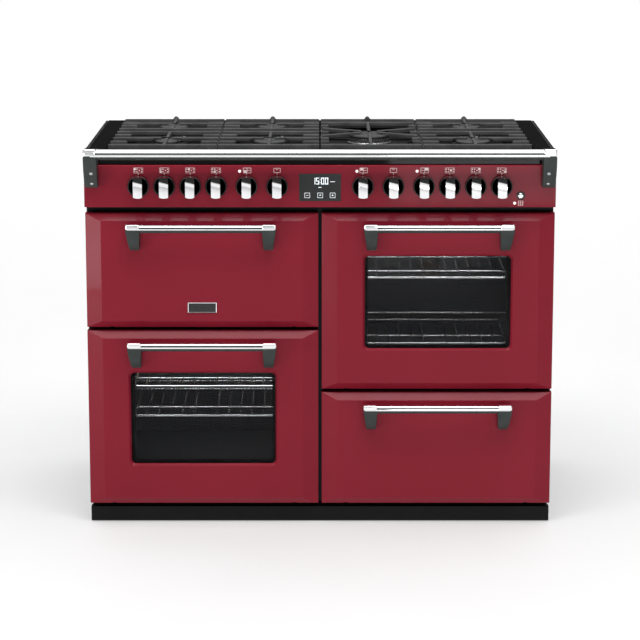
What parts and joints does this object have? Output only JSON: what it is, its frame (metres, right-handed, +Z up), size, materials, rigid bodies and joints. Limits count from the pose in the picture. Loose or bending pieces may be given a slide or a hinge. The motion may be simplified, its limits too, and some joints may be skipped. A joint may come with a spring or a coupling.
{
  "type": "freestanding gas range",
  "caption": "Wide freestanding gas range: burners under cast-iron pan supports, ovens behind drop-down doors, a row of knobs, a clock and a front rail.",
  "frame": {"origin": "on the floor, under the middle of the range's overall width and depth", "axes": "+X to the right as seen from the front, +Y from the front towards the wall, +Z up"},
  "size_m": [1.1, 0.652, 0.917],
  "materials": {
    "enamel_red": "gloss deep red vitreous enamel",
    "enamel_black": "gloss black enamel",
    "side_black": "satin black paint",
    "plinth_black": "satin black paint",
    "cap_enamel": "matte dark grey enamel",
    "oven_enamel": "speckled grey vitreous enamel",
    "bracket_grey": "satin dark grey",
    "bright_chrome": "polished",
    "shelf_chrome": "polished wire",
    "galvanised_steel": "zinc coated",
    "element_steel": "oxidised sheath",
    "burner_aluminium": "machined",
    "cast_iron": "matte enamelled cast iron",
    "clock_glass": "smoked gloss touch panel",
    "door_glass": "dark tinted",
    "knob_body": "black with a chromed grip",
    "seal_rubber": "woven heat-resisting rope",
    "foot_plastic": "glass-filled"
  },
  "bodies": {
    "carcass": {"base_frame": "side_black", "side_panels": "side_black", "rear_panel": "galvanised_steel", "plinth": "plinth_black", "levelling_feet": "foot_plastic", "front_frame": "enamel_black", "hob_tray": "enamel_black", "burner_heads": "burner_aluminium", "burner_caps": "cap_enamel", "hob_rail": "bright_chrome", "rail_brackets": "bracket_grey", "control_fascia": "enamel_red", "clock_module": "clock_glass", "taps_and_switches": "galvanised_steel", "gas_rail": "galvanised_steel", "fan_cover": "oven_enamel", "grill_element": "element_steel", "grill_cavity": "oven_enamel", "left_oven_cavity": "oven_enamel", "right_oven_cavity": "oven_enamel", "slow_oven_cavity": "oven_enamel", "door_seals": "seal_rubber", "hinge_arms": "galvanised_steel", "oven_shelves": "shelf_chrome"},
    "grill_door": {"grill_door_panel": "enamel_red", "grill_door_liner": "enamel_black", "grill_handle_bar": "bright_chrome", "grill_handle_brackets": "bracket_grey"},
    "left_oven_door": {"left_oven_door_panel": "enamel_red", "left_oven_door_liner": "enamel_black", "left_oven_handle_bar": "bright_chrome", "left_oven_handle_brackets": "bracket_grey", "left_oven_door_glass": "door_glass"},
    "right_oven_door": {"right_oven_door_panel": "enamel_red", "right_oven_door_liner": "enamel_black", "right_oven_handle_bar": "bright_chrome", "right_oven_handle_brackets": "bracket_grey", "right_oven_door_glass": "door_glass"},
    "slow_oven_door": {"slow_oven_door_panel": "enamel_red", "slow_oven_door_liner": "enamel_black", "slow_oven_handle_bar": "bright_chrome", "slow_oven_handle_brackets": "bracket_grey"},
    "knob_01": {"knob_01": "knob_body"},
    "knob_02": {"knob_02": "knob_body"},
    "knob_03": {"knob_03": "knob_body"},
    "knob_04": {"knob_04": "knob_body"},
    "knob_05": {"knob_05": "knob_body"},
    "knob_06": {"knob_06": "knob_body"},
    "knob_07": {"knob_07": "knob_body"},
    "knob_08": {"knob_08": "knob_body"},
    "knob_09": {"knob_09": "knob_body"},
    "knob_10": {"knob_10": "knob_body"},
    "knob_11": {"knob_11": "knob_body"},
    "knob_12": {"knob_12": "knob_body"},
    "ignition_button": {"ignition_button": "bright_chrome"},
    "pan_support_far_left": {"pan_support_far_left": "cast_iron"},
    "pan_support_mid_left": {"pan_support_mid_left": "cast_iron"},
    "pan_support_wok": {"pan_support_wok": "cast_iron"},
    "pan_support_far_right": {"pan_support_far_right": "cast_iron"},
    "oven_fan": {"oven_fan": "galvanised_steel"}
  },
  "joints": [
    {"name": "grill_door_hinge", "type": "hinge", "parent": "carcass", "child": "grill_door", "pos_m": [-0.277, -0.256, 0.492], "axis": [1, 0, 0], "range_deg": [0, 90], "stiffness_Nm_per_rad": 6.11},
    {"name": "left_oven_door_hinge", "type": "hinge", "parent": "carcass", "child": "left_oven_door", "pos_m": [-0.277, -0.256, 0.061], "axis": [1, 0, 0], "range_deg": [0, 90], "stiffness_Nm_per_rad": 12.41},
    {"name": "right_oven_door_hinge", "type": "hinge", "parent": "carcass", "child": "right_oven_door", "pos_m": [0.277, -0.256, 0.342], "axis": [1, 0, 0], "range_deg": [0, 90], "stiffness_Nm_per_rad": 12.41},
    {"name": "slow_oven_door_hinge", "type": "hinge", "parent": "carcass", "child": "slow_oven_door", "pos_m": [0.277, -0.256, 0.061], "axis": [1, 0, 0], "range_deg": [0, 90], "stiffness_Nm_per_rad": 6.11},
    {"name": "knob_01_turn", "type": "hinge", "parent": "carcass", "child": "knob_01", "pos_m": [-0.423, -0.274, 0.817], "axis": [0, 1, 0], "range_deg": [-210, 0]},
    {"name": "knob_02_turn", "type": "hinge", "parent": "carcass", "child": "knob_02", "pos_m": [-0.3625, -0.274, 0.817], "axis": [0, 1, 0], "range_deg": [-210, 0]},
    {"name": "knob_03_turn", "type": "hinge", "parent": "carcass", "child": "knob_03", "pos_m": [-0.302, -0.274, 0.817], "axis": [0, 1, 0], "range_deg": [-210, 0]},
    {"name": "knob_04_turn", "type": "hinge", "parent": "carcass", "child": "knob_04", "pos_m": [-0.242, -0.274, 0.817], "axis": [0, 1, 0], "range_deg": [-210, 0]},
    {"name": "knob_05_turn", "type": "hinge", "parent": "carcass", "child": "knob_05", "pos_m": [-0.171, -0.274, 0.817], "axis": [0, 1, 0], "range_deg": [0, 300]},
    {"name": "knob_06_turn", "type": "hinge", "parent": "carcass", "child": "knob_06", "pos_m": [-0.1, -0.274, 0.817], "axis": [0, 1, 0], "range_deg": [0, 300]},
    {"name": "knob_07_turn", "type": "hinge", "parent": "carcass", "child": "knob_07", "pos_m": [0.1, -0.274, 0.817], "axis": [0, 1, 0], "range_deg": [0, 300]},
    {"name": "knob_08_turn", "type": "hinge", "parent": "carcass", "child": "knob_08", "pos_m": [0.171, -0.274, 0.817], "axis": [0, 1, 0], "range_deg": [0, 300]},
    {"name": "knob_09_turn", "type": "hinge", "parent": "carcass", "child": "knob_09", "pos_m": [0.242, -0.274, 0.817], "axis": [0, 1, 0], "range_deg": [0, 300]},
    {"name": "knob_10_turn", "type": "hinge", "parent": "carcass", "child": "knob_10", "pos_m": [0.302, -0.274, 0.817], "axis": [0, 1, 0], "range_deg": [-210, 0]},
    {"name": "knob_11_turn", "type": "hinge", "parent": "carcass", "child": "knob_11", "pos_m": [0.3625, -0.274, 0.817], "axis": [0, 1, 0], "range_deg": [-210, 0]},
    {"name": "knob_12_turn", "type": "hinge", "parent": "carcass", "child": "knob_12", "pos_m": [0.423, -0.274, 0.817], "axis": [0, 1, 0], "range_deg": [-210, 0]},
    {"name": "ignition_press", "type": "slide", "parent": "carcass", "child": "ignition_button", "axis": [0, 1, 0], "range_m": [0, 0.003], "stiffness_N_per_m": 500},
    {"name": "pan_support_far_left_lift", "type": "slide", "parent": "carcass", "child": "pan_support_far_left", "axis": [0, 0, 1], "range_m": [0, 0.06]},
    {"name": "pan_support_mid_left_lift", "type": "slide", "parent": "carcass", "child": "pan_support_mid_left", "axis": [0, 0, 1], "range_m": [0, 0.06]},
    {"name": "pan_support_wok_lift", "type": "slide", "parent": "carcass", "child": "pan_support_wok", "axis": [0, 0, 1], "range_m": [0, 0.06]},
    {"name": "pan_support_far_right_lift", "type": "slide", "parent": "carcass", "child": "pan_support_far_right", "axis": [0, 0, 1], "range_m": [0, 0.06]},
    {"name": "oven_fan_spin", "type": "hinge", "parent": "carcass", "child": "oven_fan", "pos_m": [0.277, 0.2055, 0.54025], "axis": [0, 1, 0], "continuous": true}
  ]
}
